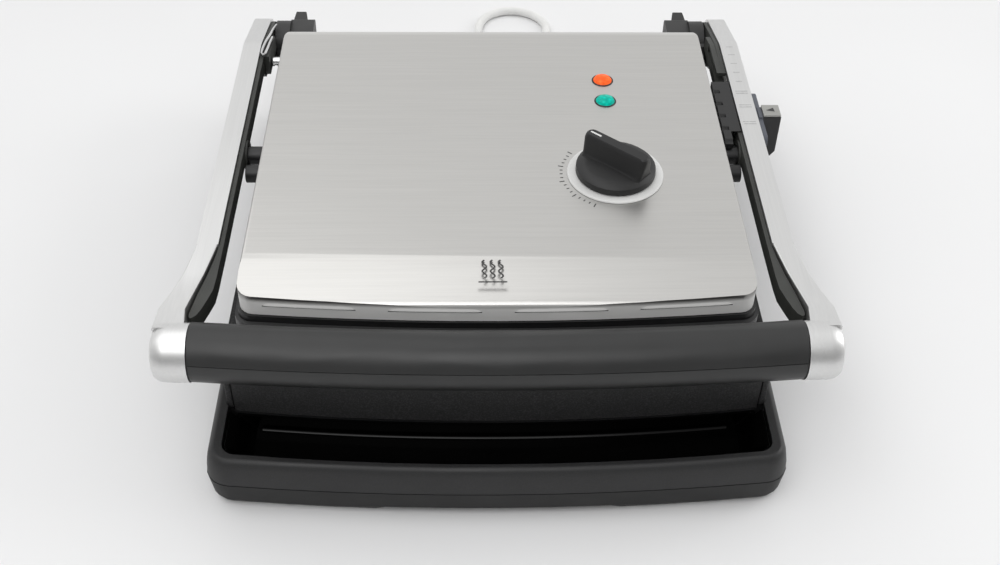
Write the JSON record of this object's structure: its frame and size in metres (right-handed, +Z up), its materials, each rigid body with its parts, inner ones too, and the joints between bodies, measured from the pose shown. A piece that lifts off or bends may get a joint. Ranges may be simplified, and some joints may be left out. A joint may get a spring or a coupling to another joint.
{
  "type": "panini press",
  "caption": "Closed panini press: brushed steel lid hung between silver arms, black bar grip, drip trough in front, temperature knob, lamps and a mains cord.",
  "frame": {"origin": "on the table, under the middle of the press without its cord", "axes": "+Z up, +X to the right seen from the front, -Y to the front where the grip and the drip trough are"},
  "size_m": [0.3785, 0.5445, 0.1341],
  "materials": {
    "black_plastic": "satin black moulding",
    "textured_black": "fine-textured black",
    "plate_coating": "black non-stick coating on cast aluminium",
    "tin_plate": "plain sheet",
    "bright_steel": "polished",
    "cord_grey": "satin pale grey",
    "tray_enamel": "gloss black enamel",
    "arm_aluminium": "satin silver",
    "grey_plastic": "dark grey moulding",
    "grip_plastic": "satin charcoal",
    "brushed_steel": "brushed",
    "dial_white": "pale grey print",
    "lens_red": "clear orange-red",
    "lens_green": "clear green",
    "rubber": "matt",
    "pin_brass": "plain"
  },
  "bodies": {
    "base": {"base_shell": "black_plastic", "base_bottom_cover": "black_plastic", "apron_front": "textured_black", "side_panel_right": "black_plastic", "side_panel_left": "black_plastic", "lower_plate": "plate_coating", "lower_element": "tin_plate", "lower_reflector": "tin_plate", "hinge_tower_right": "black_plastic", "hinge_tower_left": "black_plastic", "hinge_pin_right": "bright_steel", "hinge_pin_left": "bright_steel", "rear_stand_right": "black_plastic", "rear_stand_left": "black_plastic", "height_post": "black_plastic", "strain_relief": "cord_grey", "cord": "cord_grey", "cord_coil": "cord_grey", "cord_tail": "cord_grey", "plug_body": "cord_grey", "foot_front_left": "rubber", "foot_front_right": "rubber", "foot_rear_left": "rubber", "foot_rear_right": "rubber", "plug_pin_earth": "pin_brass", "plug_pin_left": "pin_brass", "plug_pin_right": "pin_brass"},
    "tray": {"drip_tray": "tray_enamel"},
    "arms": {"arm_right": "arm_aluminium", "arm_left": "arm_aluminium", "arm_liner_right": "grey_plastic", "arm_liner_left": "grey_plastic", "hinge_cap_right": "grey_plastic", "hinge_cap_left": "grey_plastic", "grip_core": "tin_plate", "grip_upper": "grip_plastic", "grip_lower": "grip_plastic", "latch_wire": "bright_steel"},
    "height_slider": {"slider_rack": "black_plastic", "slider_block": "black_plastic", "slider_cap": "brushed_steel"},
    "lid": {"lid_cover": "brushed_steel", "lid_frame": "black_plastic", "upper_plate": "plate_coating", "upper_element": "tin_plate", "upper_reflector": "tin_plate", "pivot_pin_right": "black_plastic", "pivot_pin_left": "black_plastic", "stop_pin_right": "black_plastic", "stop_pin_left": "black_plastic", "guide_pin": "bright_steel", "thermostat": "tin_plate", "dial_ring": "dial_white", "lamp_power": "lens_red", "lamp_ready": "lens_green", "lamp_board": "plate_coating"},
    "control_knob": {"knob": "black_plastic"}
  },
  "joints": [
    {"name": "arm_hinge", "type": "hinge", "parent": "base", "child": "arms", "pos_m": [0, 0.179, 0.072], "axis": [-1, 0, 0], "range_deg": [0, 105]},
    {"name": "lid_float", "type": "hinge", "parent": "arms", "child": "lid", "pos_m": [0, 0.0203, 0.0866], "axis": [-1, 0, 0], "range_deg": [-8.5, 0]},
    {"name": "knob_turn", "type": "hinge", "parent": "lid", "child": "control_knob", "pos_m": [0.073, -0.031, 0.114], "axis": [0, 0, 1], "range_deg": [-130, 140]},
    {"name": "height_slide", "type": "slide", "parent": "arms", "child": "height_slider", "axis": [0, 1, 0], "range_m": [-0.006, 0.08]},
    {"name": "tray_lift", "type": "slide", "parent": "base", "child": "tray", "axis": [0, 0, 1], "range_m": [0, 0.03]}
  ],
  "couplings": [
    {"joint": "lid_float", "follows": "arm_hinge", "ratio": -0.08}
  ]
}
